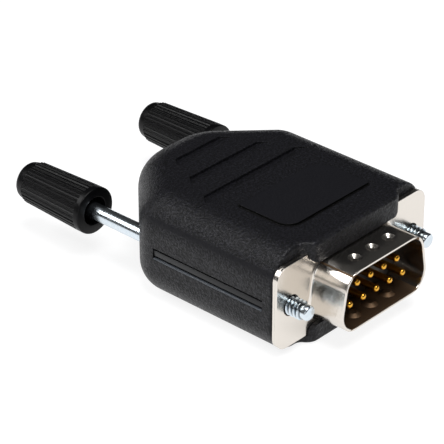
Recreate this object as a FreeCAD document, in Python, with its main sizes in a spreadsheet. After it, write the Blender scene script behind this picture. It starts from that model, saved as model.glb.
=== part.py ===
# Nine-way D-shaped cable plug with a two-piece cover and two captive jackscrews.
# Millimetres. The origin is the middle of the flange's front face. The plug mates
# towards -Y, the cable leaves towards +Y, and the wide row of pins is below.
import FreeCAD, Part
import Sketcher
import math
import os
import re
from FreeCAD import Vector

doc = FreeCAD.newDocument("connector")
sizes = doc.addObject("Spreadsheet::Sheet", "sizes")
sums = doc.addObject("Spreadsheet::Sheet", "sums")

# Sizes in millimetres, each with a name of its own
chosen = {
    # flange and pressed shells
    "ear_reach": 4.035,           # from the front shell's hollow to a jackscrew's axis
    "ear_edge": 2.91,             # from a jackscrew's axis to the flange's end
    "flange_rim": 2.095,          # flange above and below the front shell's hollow
    "flange_corner": 2.0,         # corner radius of the flange
    "steel_sheet": 0.38,          # thickness of each of the two flanges
    "flange_hole": 3.05,          # diameter of the flange holes
    "pin_margin": 2.92,           # from the last pin of the wide row to the shell
    "row_margin": 2.76,           # from a row of pins to the shell
    "shell_corner": 2.6,          # inside corner radius of the front shell
    "side_slant": 10,             # slant of the D's sides in degrees
    "shell_wall": 0.4,            # wall of the drawn shells
    "shell_depth": 5.7,           # front shell ahead of the flange
    "draw_radius": 0.4,           # radius where the shell is drawn out of the flange
    "lip_radius": 0.12,           # rounding of the shell's lip
    "dimple_count": 3,            # dimples on each long side of the shell
    "dimple_pitch": 3.55,         # between dimples
    "dimple_setback": 2.5,        # from the shell's lip to the dimples
    "dimple_radius": 1.0,         # mouth radius of a dimple
    "dimple_depth": 0.35,         # how far a dimple is pressed in
    "dimple_floor": 0.35,         # radius of a dimple's flat floor
    "box_margin": 0.9,            # rear shell's hollow outside the front shell's hollow
    "box_depth": 5.2,             # rear shell behind the flange
    "box_lip": 0.8,               # width of the rear shell's turned-in lip
    "box_corner": 0.35,           # outside rounding of the rear shell's back edge
    # insulators and contacts
    "seat_gap": 0.05,             # clearance between pieces that are fitted into each other
    "face_reach": 0.5,            # front insulator ahead of the flange's front face
    "split_plane": 2.6,           # joint between the insulators, behind the flange's front face
    "tail_block": 1.8,            # rear insulator behind the rear shell
    "block_shrink": 0.9,          # rear block inside the front shell's hollow
    "pin_pitch": 2.77,            # between pins of a row
    "row_pitch": 2.84,            # between the rows
    "pin_count": 5,               # pins in the wide row
    "pin_diameter": 1.0,          # pin diameter
    "pin_reach": 4.54,            # pin tips ahead of the flange's front face
    "pin_tip": 0.42,              # rounding of the pin tips
    "collar_diameter": 1.9,       # diameter of the contact's collar
    "collar_length": 0.7,         # length of the contact's collar
    "tail_diameter": 1.6,         # diameter of the solder cup
    "tail_length": 2.9,           # solder cup behind the insulator
    "cup_bore": 1.15,             # bore of the solder cup
    "cup_depth": 2.7,             # depth of the solder cup
    "cup_scoop": 2.0,             # length of the cup's open side
    # moulded cover
    "cover_overhang": 0.095,      # cover beyond each end of the flange
    "cover_rear": 34.86,          # cover's rear face, behind the flange's front face
    "cover_above": 1.725,         # top face above the flange
    "cover_below": 1.325,         # bottom face below the flange
    "rear_width": 10.8,           # rear face between the tapers
    "edge_radius": 4.8,           # rounding of the long edges
    "side_corner": 5.2,           # corner between side and taper, seen from above
    "rear_corner": 8.5,           # corner between taper and rear face, seen from above
    "front_edge": 0.5,            # rounding of the front edge
    "nose_overhang": 0.4,         # nose beyond each side of the shell's hollow, at its front
    "nose_reach": 0.79,           # nose ahead of the flange's front face
    "nose_sweep": 1.1,            # how far each end of the nose spreads towards the front rim
    "nose_corner": 2.2,           # rounded front corners of the nose, seen from above
    "nose_hollow": 1.2,           # hollow corner where the nose meets the front rim
    "nose_spread": 0.35,          # end of the nose beyond its front corner, over the flange
    "nose_drop": 1.45,            # rounded lower corners of the nose
    "cover_wall": 1.7,            # wall of the cover
    "channel_wall": 1.745,        # wall between the wire chamber and the ring's channel
    "rear_block": 4.4,            # solid length around the cable outlet
    "cable_outlet": 8.8,          # diameter of the cable outlet
    "outlet_edge": 0.6,           # bevel at the mouth of the cable outlet
    "peg_diameter": 1.5,          # pegs that line up the halves
    "peg_length": 2.4,            # length of the pegs
    "peg_wall": 1.8,              # from the cable outlet to a peg's axis
    "peg_setback": 2.9,           # pegs ahead of the rear face
    # surface features of the cover
    "scoop_count": 3,             # finger scoops on the top
    "scoop_setback": 6.45,        # from the rear face to the rearmost scoop
    "scoop_pitch": 4.95,          # between scoops
    "scoop_width": 8.8,           # rear edge of the rearmost scoop, across
    "scoop_growth": 5.0,          # how much wider each scoop is than the one behind it
    "scoop_run": 1.6,             # scoop from rear to front
    "scoop_flare": 1.3,           # how far each end of a scoop spreads along its run
    "scoop_depth": 0.45,          # depth of a scoop at its rear wall
    "badge_width": 16.5,          # raised badge field across
    "badge_front": 4.15,          # front edge of the badge field
    "badge_rear": 13.2,           # rear edge of the badge field
    "badge_rise": 0.3,            # height of the badge field
    "badge_front_corner": 2.2,    # rounded front left corner of the badge field
    "badge_rear_corner": 3.2,     # rounded rear right corner of the badge field
    "badge_tight_corner": 0.4,    # the other two corners of the badge field
    "band_depth": 0.4,            # depth of the smooth band along the joint
    "band_above": 1.0,            # band above the joint
    "band_below": 0.8,            # band below the joint
    "band_front": 2.51,           # front end of the band
    "band_setback": 2.5,          # from the band's rear end to the taper
    "band_lip": 0.12,             # bevel of the joint inside the band
    # jackscrews, knobs and retaining rings
    "thread_diameter": 2.7,       # outside diameter of the thread
    "thread_tip": 0.35,           # chamfer at the tip
    "thread_gap": 0.1,            # radial clearance of the thread in the cover
    "shank_diameter": 2.38,       # diameter of the plain shank
    "shank_gap": 0.08,            # radial clearance of the shank in the cover
    "screw_reach": 3.24,          # tip ahead of the flange's front face
    "knob_gap": 5.1,              # from the cover's taper to the knob
    "travel_forward": 4.75,       # how far the screw slides forward
    "travel_back": 4.3,           # how far the screw slides back
    "stop_gap": 0.3,              # left at the ring's stops
    "ring_place": 13.76,          # retaining ring behind the flange's front face
    "ring_thickness": 0.5,        # thickness of the retaining ring
    "ring_diameter": 3.9,         # outside diameter of the retaining ring
    "ring_mouth": 1.5,            # opening of the retaining ring
    "ring_gap": 0.1,              # radial clearance of the ring in its channel
    "groove_diameter": 1.8,       # bottom of the ring's groove in the shank
    "groove_gap": 0.03,           # clearance of the ring in its groove
    "knob_length": 13.55,         # knob overall
    "knob_diameter": 7.0,         # knob over the ribs, at the front
    "knob_draft": 0.35,           # how much the radius falls towards the rear
    "rim_length": 0.9,            # smooth rim at the knob's front
    "cap_length": 1.7,            # smooth cap at the knob's rear
    "cap_step": 0.3,              # cap below the ribs
    "cap_round": 0.7,             # rounding of the cap's edge
    "rim_round": 0.3,             # rounding of the rim's edge
    "mouth_diameter": 4.2,        # counterbore in the knob's front
    "mouth_depth": 2.5,           # depth of that counterbore
    "rib_count": 34,              # ribs around the knob
    "rib_groove": 0.17,           # radius of the grooves between the ribs
    "shank_end": 2.2,             # knob left behind the shank's end
    # cable clamp
    "clamp_setback": 5.1,         # clamp ahead of the chamber's rear wall
    "clamp_length": 3.6,          # clamp along the cable
    "clamp_bore": 7.2,            # cable space in the clamp
    "clamp_gap": 0.3,             # from the clamp bar's end to the chamber's wall
    "clamp_sheet": 1.2,           # thickness of the clamp bar
    "clamp_edge": 1.6,            # from the clamp bar's end to a screw's axis
    "clamp_screw_diameter": 2.0,  # clamp screw shank
    "clamp_screw_length": 4.6,    # clamp screw below its head
    "clamp_head_diameter": 3.0,   # clamp screw head
    "clamp_head_height": 1.1,     # height of the clamp screw head
    "clamp_slot": 0.5,            # slot width in the clamp screw head
    "clamp_slot_depth": 0.6,      # slot depth in the clamp screw head
    "clamp_round": 0.6,           # inside bend of the clamp bar
}

# Sizes that follow from the ones above
derived = {
    # inside of the front shell: the pins and their margins
    "shell_width": "(pin_count - 1) * pin_pitch + 2 * pin_margin",
    "shell_height": "row_pitch + 2 * row_margin",
    # between the jackscrew axes
    "screw_spacing": "shell_width + 2 * ear_reach",
    # flange across the screws, and its height
    "flange_width": "screw_spacing + 2 * ear_edge",
    "flange_height": "shell_height + 2 * flange_rim",
    # cover across its straight sides, and its faces above and below the joint
    "cover_width": "flange_width + 2 * cover_overhang",
    "cover_top": "flange_height / 2 + cover_above",
    "cover_bottom": "flange_height / 2 + cover_below",
    # jackscrew axis from the middle
    "screw_x": "screw_spacing / 2",
    # back of the two flanges
    "flange_back": "2 * steel_sheet",
    # clearance of the cover around a shell, so that the drawn radius stays free
    "root_gap": "draw_radius - sqrt(draw_radius ^ 2 - (draw_radius - seat_gap) ^ 2) + seat_gap",
    # front face of the cover behind the flange
    "cover_front": "flange_back + seat_gap",
    # sine of the slant
    "slant_sine": "sin(side_slant)",
    # cosine of the slant
    "slant_cosine": "cos(side_slant)",
    # centre of the D's wide corners
    "corner_x": "shell_width / 2 - shell_corner",
    # half the cover's width
    "side_x": "cover_width / 2",
    # half the width of the cover's flat top
    "flat_x": "side_x - edge_radius",
    # half the rear face's width
    "rear_x": "rear_width / 2",
    # where the 45 degree tapers start
    "taper_start": "cover_rear - (side_x - rear_x)",
    # radius over the ribs
    "knob_radius": "knob_diameter / 2",
    # taper beside the knob
    "taper_at_knob": "cover_rear - (screw_x - knob_radius - rear_x)",
    # knob's front face
    "knob_front": "taper_at_knob + knob_gap",
    # back of the rear shell
    "box_back": "flange_back + box_depth",
    # half the rear shell's height
    "box_half": "shell_height / 2 + box_margin + shell_wall",
    # half the height of the rear shell's pocket
    "pocket_half": "box_half + root_gap",
    # half that pocket's width
    "pocket_x": "shell_width / 2 + box_margin + shell_wall + root_gap",
    # back of that pocket
    "pocket_back": "box_back + root_gap",
    # half the wire chamber's width
    "chamber_x": "screw_x - ring_diameter / 2 - ring_gap - channel_wall",
    # rear wall of the wire chamber
    "chamber_rear": "cover_rear - rear_block",
    # chamber's taper starts
    "chamber_taper": "taper_start + side_x - chamber_x - cover_wall * sqrt(2)",
    # half the chamber's rear wall
    "chamber_rear_x": "chamber_x - (chamber_rear - chamber_taper)",
    # front stop
    "channel_front": "ring_place - ring_thickness / 2 - travel_forward - stop_gap",
    # rear stop
    "channel_rear": "ring_place + ring_thickness / 2 + travel_back + stop_gap",
    # half the nose's width
    "nose_x": "shell_width / 2 + nose_overhang",
    # end of the nose over the flange
    "nose_end": "nose_x + nose_spread",
    # edge of the nose above the shell
    "nose_foot": "shell_height / 2 + shell_wall + root_gap",
    # half the height of the flange's slot
    "slot_half": "flange_height / 2 + seat_gap",
    # rear edge of the rearmost scoop
    "scoop_first": "cover_rear - scoop_setback",
    # rear end of the band
    "band_rear": "taper_start - band_setback",
    # between the pegs that line up the halves
    "peg_spacing": "cable_outlet + 2 * peg_wall",
    # clamp behind the flange's front face, clamp bar across, and between its screws
    "clamp_place": "chamber_rear - clamp_setback",
    "clamp_span": "2 * (chamber_x - clamp_gap)",
    "clamp_screw_spacing": "clamp_span - 2 * clamp_edge",
    # front of the clamp
    "clamp_front": "clamp_place - clamp_length / 2",
    # outside radius of the clamp bar's arch
    "clamp_arch": "clamp_bore / 2 + clamp_sheet",
}
for row, (alias, amount) in enumerate({**chosen, **derived}.items(), 1):
    sizes.set(f"A{row}", alias.replace("_", " "))
    sizes.set(f"B{row}", f"={amount}" if alias in derived else str(amount))
    sizes.setAlias(f"B{row}", alias)
doc.recompute()


# Drawing helpers
def tied(expression):
    """The expression with the sheet's name before each alias in it."""
    known = lambda word: word[0] in chosen or word[0] in derived
    return re.sub(r"[a-z_]+", lambda word: f"sizes.{word[0]}" if known(word) else word[0], expression)


def bind(thing, prop, expression):
    """Ties a property to the sheet."""
    thing.setExpression(prop, tied(expression))


def value(expression):
    """Works an expression out in a sheet of its own."""
    sums.set("A1", f"={tied(expression)}")
    sums.recompute()
    return float(sums.get("A1"))


def sketch_on(body, name, role, level="0", across="0", up="0"):
    """Sketch parallel to an origin plane, at a level along X, Y or Z, with its own zero point."""
    sketch = body.newObject("Sketcher::SketchObject", name)
    plane = next(part for part in body.Origin.OriginFeatures if part.Role == role)
    sketch.AttachmentSupport = (plane, [""])
    sketch.MapMode = "FlatFace"
    if level != "0":
        # the XZ plane faces -Y, so its levels are counted backwards
        bind(sketch, "AttachmentOffset.Base.z", f"-({level})" if role == "XZ_Plane" else level)
    if across != "0":
        bind(sketch, "AttachmentOffset.Base.x", across)
    if up != "0":
        bind(sketch, "AttachmentOffset.Base.y", up)
    return sketch


def fix_point(sketch, geometry, end, x, y):
    """Holds one point of a sketch at two expressions."""
    for kind, expression in (("DistanceX", x), ("DistanceY", y)):
        constraint = Sketcher.Constraint(kind, -1, 1, geometry, end, value(expression))
        bind(sketch, f"Constraints[{sketch.addConstraint(constraint)}]", expression)


def circle(sketch, x, y, radius):
    """Circle with its centre and radius tied to the sheet."""
    centre = Vector(value(x), value(y), 0)
    geometry = sketch.addGeometry(Part.Circle(centre, Vector(0, 0, 1), value(radius)))
    fix_point(sketch, geometry, 3, x, y)
    constraint = Sketcher.Constraint("Radius", geometry, value(radius))
    bind(sketch, f"Constraints[{sketch.addConstraint(constraint)}]", radius)


def outline(sketch, corners):
    """Closed outline, anticlockwise. A corner is its place and the radius that rounds it, if any."""
    count = len(corners)
    spots = [Vector(value(x), value(y), 0) for x, y, radius in corners]
    leave, reach = [], []
    for index, spot in enumerate(spots):
        back = (spots[index - 1] - spot).normalize()
        ahead = (spots[(index + 1) % count] - spot).normalize()
        radius = value(corners[index][2]) if corners[index][2] else 0
        cut = radius / math.tan(back.getAngle(ahead) / 2)
        reach.append(spot + back * cut)
        leave.append(spot + ahead * cut)
    sides = [sketch.addGeometry(Part.LineSegment(leave[i], reach[(i + 1) % count])) for i in range(count)]
    for index, (x, y, radius) in enumerate(corners):
        before, after = sides[index - 1], sides[index]
        if not radius:
            sketch.addConstraint(Sketcher.Constraint("Coincident", before, 2, after, 1))
            fix_point(sketch, after, 1, x, y)
            continue
        corner = sketch.addGeometry(Part.Point(spots[index]), True)
        fix_point(sketch, corner, 1, x, y)
        inward = (reach[index] + leave[index]) * 0.5 - spots[index]
        half = (reach[index] - spots[index]).getAngle(inward)
        inward.normalize()
        bulge = spots[index] + inward * (value(radius) / math.sin(half) - value(radius))
        arc = sketch.addGeometry(Part.Arc(reach[index], bulge, leave[index]))
        turn = (reach[index] - bulge).cross(leave[index] - bulge).z
        first, last = (1, 2) if turn < 0 else (2, 1)
        sketch.addConstraint(Sketcher.Constraint("Tangent", before, 2, arc, first))
        sketch.addConstraint(Sketcher.Constraint("Tangent", arc, last, after, 1))
        sketch.addConstraint(Sketcher.Constraint("PointOnObject", corner, 1, before))
        sketch.addConstraint(Sketcher.Constraint("PointOnObject", corner, 1, after))
        constraint = Sketcher.Constraint("Radius", arc, value(radius))
        bind(sketch, f"Constraints[{sketch.addConstraint(constraint)}]", radius)


def rectangle(sketch, left, bottom, right, top, radius=None):
    """Upright rectangle, with its corners rounded alike or sharp."""
    outline(sketch, [(left, bottom, radius), (right, bottom, radius),
                     (right, top, radius), (left, top, radius)])


def piece(name, x="0", y="0", z="0"):
    """A body of its own, whose place is tied to the sheet."""
    body = doc.addObject("PartDesign::Body", name)
    body.Label = name
    for axis, expression in (("x", x), ("y", y), ("z", z)):
        if expression != "0":
            bind(body, f"Placement.Base.{axis}", expression)
    return body


def extrude(body, kind, name, sketch, length):
    """Pad or Pocket that runs from the sketch's level along +X, +Y or +Z."""
    feature = body.newObject(f"PartDesign::{kind}", name)
    feature.Profile = sketch
    bind(feature, "Length", length)
    faces_back = sketch.AttachmentSupport[0][0].Role == "XZ_Plane"
    feature.Reversed = faces_back == (kind == "Pad")
    return feature


def revolve(body, kind, name, sketch, axis):
    """Revolution or Groove, a full turn about one of the sketch's axes."""
    feature = body.newObject(f"PartDesign::{kind}", name)
    feature.Profile = sketch
    feature.ReferenceAxis = (sketch, [axis])
    feature.Angle = 360
    return feature


def round_edges(body, name, radius, test, kind="Fillet"):
    """Fillets or bevels the edges whose start, middle and end pass a test."""
    doc.recompute()
    base = body.Tip
    chosen = []
    for number, edge in enumerate(base.Shape.Edges, 1):
        middle = (edge.FirstParameter + edge.LastParameter) / 2
        spots = [edge.valueAt(at) for at in (edge.FirstParameter, middle, edge.LastParameter)]
        if test(*spots):
            chosen.append(f"Edge{number}")
    feature = body.newObject(f"PartDesign::{kind}", name)
    feature.Base = (base, chosen)
    bind(feature, "Radius" if kind == "Fillet" else "Size", radius)
    return feature


def level_with(axis, expression):
    """Test for edges that lie at one level along an axis."""
    level = value(expression)
    return lambda *spots: all(abs(getattr(spot, axis) - level) < 1e-4 for spot in spots)


def d_corners(offset):
    """The D with its wide side down, grown by an offset from the inside of the front shell."""
    radius = f"(shell_corner + {offset})"
    half = f"(shell_height / 2 + {offset})"
    foot = f"(corner_x + {radius} * (1 + slant_sine) / slant_cosine)"
    head = f"(corner_x + ({radius} - slant_sine * (2 * {half} - {radius})) / slant_cosine)"
    return [(f"-{foot}", f"-{half}", radius), (foot, f"-{half}", radius),
            (head, half, radius), (f"-{head}", half, radius)]


def pin_places():
    """Number, place across and place up of each contact. The wide row is below."""
    wide = round(value("pin_count"))
    for number in range(1, 2 * wide):
        row = 0 if number <= wide else 1
        column = number - 1 - row * wide
        across = f"((pin_count - {1 + row}) / 2 - {column}) * pin_pitch"
        yield number, across, "row_pitch / 2" if row else "-row_pitch / 2"


# Pressed shells
def flange_shape(sketch):
    """Outline of the flange with its two screw holes."""
    rectangle(sketch, "-flange_width / 2", "-flange_height / 2", "flange_width / 2", "flange_height / 2",
              "flange_corner")
    circle(sketch, "screw_x", "0", "flange_hole / 2")
    circle(sketch, "-screw_x", "0", "flange_hole / 2")


def within_flange(spot):
    """Whether a point lies between the screw holes and inside the flange's outline."""
    inside_x, inside_z = value("screw_x - flange_hole / 2"), value("flange_height / 2 - seat_gap")
    return abs(spot.x) < inside_x and abs(spot.z) < inside_z


def press_dimples(body, name, up):
    """One row of dimples in a long side: a bump inside, and the punch's hollow outside."""
    start = "-(dimple_count - 1) / 2 * dimple_pitch"
    inside, outside = f"{up} * shell_height / 2", f"{up} * (shell_height / 2 + shell_wall)"
    spread = "shell_wall / 2"
    bump = sketch_on(body, f"{name}_bump", "YZ_Plane", start, "dimple_setback - shell_depth")
    outline(bump, [("0", f"{inside} - {up} * dimple_depth", None),
                   (f"dimple_floor + {spread}", f"{inside} - {up} * dimple_depth", None),
                   (f"dimple_radius + {spread}", inside, None),
                   (f"dimple_radius + {spread}", f"{inside} + {up} * shell_wall / 2", None),
                   ("0", f"{inside} + {up} * shell_wall / 2", None)])
    raised = revolve(body, "Revolution", f"{name}_raised", bump, "V_Axis")
    punch = sketch_on(body, f"{name}_punch", "YZ_Plane", start, "dimple_setback - shell_depth")
    outline(punch, [("0", f"{outside} - {up} * dimple_depth", None),
                    ("dimple_floor", f"{outside} - {up} * dimple_depth", None),
                    ("dimple_radius", outside, None),
                    ("dimple_radius", f"{outside} + {up} * shell_wall", None),
                    ("0", f"{outside} + {up} * shell_wall", None)])
    pressed = revolve(body, "Groove", f"{name}_pressed", punch, "V_Axis")
    row = body.newObject("PartDesign::LinearPattern", f"{name}_row")
    row.Originals = [raised, pressed]
    row.Direction = (bump, ["N_Axis"])
    bind(row, "Length", "(dimple_count - 1) * dimple_pitch")
    bind(row, "Occurrences", "dimple_count")
    body.Tip = row


def front_shell():
    """Flange and drawn D-shaped skirt of the front shell."""
    body = piece("front_shell")
    flange = sketch_on(body, "flange_outline", "XZ_Plane")
    flange_shape(flange)
    extrude(body, "Pad", "flange", flange, "steel_sheet")
    skirt = sketch_on(body, "skirt_outline", "XZ_Plane", "-shell_depth")
    outline(skirt, d_corners("shell_wall"))
    extrude(body, "Pad", "skirt", skirt, "shell_depth + steel_sheet")
    root = level_with("y", "0")
    round_edges(body, "drawn_root", "draw_radius", lambda *s: root(*s) and all(within_flange(p) for p in s))
    hollow = sketch_on(body, "hollow_outline", "XZ_Plane", "-shell_depth")
    outline(hollow, d_corners("0"))
    extrude(body, "Pocket", "hollow", hollow, "shell_depth + steel_sheet")
    back = level_with("y", "steel_sheet")
    round_edges(body, "drawn_back", "draw_radius + shell_wall",
                lambda *s: back(*s) and all(within_flange(p) for p in s))
    round_edges(body, "lip", "lip_radius", level_with("y", "-shell_depth"))
    press_dimples(body, "upper_dimple", 1)
    press_dimples(body, "lower_dimple", -1)
    return body


def rear_shell():
    """Second flange, with the box that holds the insulators drawn out of it."""
    body = piece("rear_shell")
    flange = sketch_on(body, "flange_outline", "XZ_Plane", "steel_sheet")
    flange_shape(flange)
    extrude(body, "Pad", "flange", flange, "steel_sheet")
    box = sketch_on(body, "box_outline", "XZ_Plane", "steel_sheet")
    outline(box, d_corners("box_margin + shell_wall"))
    extrude(body, "Pad", "box", box, "steel_sheet + box_depth")
    root = level_with("y", "flange_back")
    round_edges(body, "drawn_root", "draw_radius", lambda *s: root(*s) and all(within_flange(p) for p in s))
    round_edges(body, "box_edge", "box_corner", level_with("y", "box_back"))
    hollow = sketch_on(body, "hollow_outline", "XZ_Plane", "steel_sheet")
    outline(hollow, d_corners("box_margin"))
    extrude(body, "Pocket", "hollow", hollow, "steel_sheet + box_depth - shell_wall")
    window = sketch_on(body, "window_outline", "XZ_Plane", "box_back - 2 * shell_wall")
    outline(window, d_corners("box_margin - box_lip"))
    extrude(body, "Pocket", "window", window, "3 * shell_wall")
    return body


# Insulators and contacts
def drill_contacts(body, name, start, length, radius):
    """One hole for each contact."""
    holes = sketch_on(body, f"{name}_places", "XZ_Plane", start)
    for number, across, up in pin_places():
        circle(holes, across, up, radius)
    extrude(body, "Pocket", name, holes, length)


def front_insulator():
    """Block in the mouth of the shell, with a shoulder behind the flange."""
    body = piece("front_insulator")
    plug = sketch_on(body, "plug_outline", "XZ_Plane", "-face_reach")
    outline(plug, d_corners("(-seat_gap)"))
    extrude(body, "Pad", "plug", plug, "face_reach + split_plane")
    shoulder = sketch_on(body, "shoulder_outline", "XZ_Plane", "steel_sheet")
    outline(shoulder, d_corners("box_margin - seat_gap"))
    extrude(body, "Pad", "shoulder", shoulder, "split_plane - steel_sheet")
    drill_contacts(body, "pin_holes", "-2 * face_reach", "split_plane + 2 * face_reach",
                   "pin_diameter / 2 + seat_gap")
    drill_contacts(body, "collar_seats", "split_plane - collar_length", "collar_length",
                   "collar_diameter / 2 + seat_gap")
    return body


def rear_insulator():
    """Block behind the joint plane, held by the lip of the rear shell."""
    body = piece("rear_insulator")
    shoulder = sketch_on(body, "shoulder_outline", "XZ_Plane", "split_plane")
    outline(shoulder, d_corners("box_margin - seat_gap"))
    extrude(body, "Pad", "shoulder", shoulder, "box_back - shell_wall - split_plane")
    block = sketch_on(body, "block_outline", "XZ_Plane", "split_plane")
    outline(block, d_corners("(-block_shrink)"))
    extrude(body, "Pad", "block", block, "box_back + tail_block - split_plane")
    drill_contacts(body, "tail_holes", "split_plane", "box_back + tail_block - split_plane",
                   "tail_diameter / 2 + seat_gap")
    return body


def contact(number, across, up):
    """Turned pin with a collar and a solder cup, whose open side faces away from the other row."""
    body = piece(f"contact_{number}", x=across, z=up)
    back = "(box_back + tail_block + tail_length)"
    profile = sketch_on(body, "profile", "YZ_Plane")
    outline(profile, [("-pin_reach", "0", None),
                      (back, "0", None),
                      (back, "tail_diameter / 2", None),
                      ("split_plane", "tail_diameter / 2", None),
                      ("split_plane", "collar_diameter / 2", None),
                      ("split_plane - collar_length", "collar_diameter / 2", None),
                      ("split_plane - collar_length", "pin_diameter / 2", None),
                      ("-pin_reach", "pin_diameter / 2", "pin_tip")])
    revolve(body, "Revolution", "turned", profile, "H_Axis")
    bore = sketch_on(body, "bore_place", "XZ_Plane", f"{back} - cup_depth")
    circle(bore, "0", "0", "cup_bore / 2")
    extrude(body, "Pocket", "bore", bore, "cup_depth")
    opening = sketch_on(body, "scoop_outline", "XZ_Plane", f"{back} - cup_scoop")
    away = 1 if up.startswith("row") else -1
    rectangle(opening, "-tail_diameter", "0", "tail_diameter", f"{away} * tail_diameter")
    extrude(body, "Pocket", "scoop", opening, "cup_scoop")
    return body


# Moulded cover
def cover_half(name, up):
    """What both halves of the cover share. up is 1 for the upper half and -1 for the lower one."""
    body = piece(name)
    height = "cover_top" if up > 0 else "cover_bottom"

    def layer(sketch_name, near, far):
        """Sketch for a layer between two distances from the joint, and the layer's thickness."""
        start = near if up > 0 else f"-({far})"
        return sketch_on(body, sketch_name, "XY_Plane", start), f"{far} - ({near})"

    plan, thickness = layer("plan", "0", height)
    outline(plan, [("-side_x", "cover_front", None), ("side_x", "cover_front", None),
                   ("side_x", "taper_start", "side_corner"), ("rear_x", "cover_rear", "rear_corner"),
                   ("-rear_x", "cover_rear", "rear_corner"), ("-side_x", "taper_start", "side_corner")])
    extrude(body, "Pad", "block", plan, thickness)
    outer = level_with("z", f"{up} * {height}")
    front = level_with("y", "cover_front")
    joint = level_with("z", "0")
    cover_face = value("cover_front")
    round_edges(body, "long_edges", "edge_radius", lambda *s: outer(*s) and not front(*s))

    # the nose hangs over the shell, and its ends sweep out into the front rim
    nose, thickness = layer("nose_plan", "nose_foot", height)
    outline(nose, [("-nose_x", "-nose_reach", "nose_corner"), ("nose_x", "-nose_reach", "nose_corner"),
                   ("nose_x + nose_sweep", "cover_front", "nose_hollow"),
                   ("flat_x", "cover_front", None), ("flat_x", "cover_front + nose_sweep", None),
                   ("-flat_x", "cover_front + nose_sweep", None), ("-flat_x", "cover_front", None),
                   ("-(nose_x + nose_sweep)", "cover_front", "nose_hollow")])
    extrude(body, "Pad", "nose", nose, thickness)
    low, foot, far = f"{up} * (nose_foot - nose_drop)", f"{up} * nose_foot", "(nose_x + 3 * nose_sweep)"
    for side in (1, -1):
        hand = "right" if side > 0 else "left"
        end = sketch_on(body, f"nose_end_{hand}", "XZ_Plane", "-nose_reach")
        outline(end, [(f"{side} * (nose_end - 2 * nose_drop)", low, None), (f"{side} * {far}", low, None),
                      (f"{side} * {far}", f"{up} * slot_half", None),
                      (f"{side} * nose_end", f"{up} * slot_half", None),
                      (f"{side} * nose_end", foot, "nose_drop"),
                      (f"{side} * (nose_end - 2 * nose_drop)", foot, None)])
        extrude(body, "Pocket", f"nose_drop_{hand}", end, "nose_reach")
    brow = lambda *s: outer(*s) and all(spot.y < cover_face + 1e-4 for spot in s)
    round_edges(body, "front_edges", "front_edge", lambda *s: brow(*s) or (front(*s) and not joint(*s)))
    slot = sketch_on(body, "slot_outline", "XZ_Plane", "-seat_gap")
    rectangle(slot, "-flange_width / 2", f"{up} * slot_half", "flange_width / 2", "0")
    extrude(body, "Pocket", "flange_slot", slot, "cover_front + seat_gap")
    pocket = sketch_on(body, "pocket_outline", "XZ_Plane", "flange_back")
    rectangle(pocket, "-pocket_x", f"{up} * pocket_half", "pocket_x", f"-{up} * pocket_half")
    extrude(body, "Pocket", "shell_pocket", pocket, "pocket_back - flange_back")

    room, thickness = layer("chamber_plan", "0", f"({height} - cover_wall)")
    outline(room, [("-chamber_x", "flange_back", None), ("chamber_x", "flange_back", None),
                   ("chamber_x", "chamber_taper", None), ("chamber_rear_x", "chamber_rear", None),
                   ("-chamber_rear_x", "chamber_rear", None), ("-chamber_x", "chamber_taper", None)])
    extrude(body, "Pocket", "wire_chamber", room, thickness)

    outlet = sketch_on(body, "outlet_place", "XZ_Plane", "chamber_rear - cover_wall")
    circle(outlet, "0", "0", "cable_outlet / 2")
    extrude(body, "Pocket", "cable_way", outlet, "rear_block + 2 * cover_wall")
    mouth = sketch_on(body, "mouth_profile", "XY_Plane")
    outline(mouth, [("cable_outlet / 2 - outlet_edge", "cover_rear - 2 * outlet_edge", None),
                    ("cable_outlet / 2 + 2 * outlet_edge", "cover_rear + outlet_edge", None),
                    ("cable_outlet / 2 - outlet_edge", "cover_rear + outlet_edge", None)])
    revolve(body, "Groove", "outlet_mouth", mouth, "V_Axis")
    for place in ("screw_x", "-screw_x"):
        side = "right" if place == "screw_x" else "left"
        bores = (("thread_bore", "0", "channel_front", "thread_diameter / 2 + thread_gap"),
                 ("ring_channel", "channel_front", "channel_rear", "ring_diameter / 2 + ring_gap"),
                 ("shank_bore", "channel_rear", "cover_rear", "shank_diameter / 2 + shank_gap"))
        for part, start, stop, radius in bores:
            hole = sketch_on(body, f"{side}_{part}_place", "XZ_Plane", start)
            circle(hole, place, "0", radius)
            extrude(body, "Pocket", f"{side}_{part}", hole, f"{stop} - ({start})")

    for side in (1, -1):
        band, thickness = layer(f"band_plan_{'right' if side > 0 else 'left'}", "0",
                                "band_above" if up > 0 else "band_below")
        rectangle(band, f"{side} * (side_x - band_depth)", "band_front", f"{side} * (side_x + band_depth)",
                  "band_rear")
        extrude(body, "Pocket", f"band_{'right' if side > 0 else 'left'}", band, thickness)
    band_wall = value("side_x - band_depth")
    in_band = lambda *spots: all(abs(abs(spot.x) - band_wall) < 1e-4 for spot in spots)
    round_edges(body, "band_joint", "band_lip", lambda *s: joint(*s) and in_band(*s) and s[0].y != s[2].y,
                "Chamfer")

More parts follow.
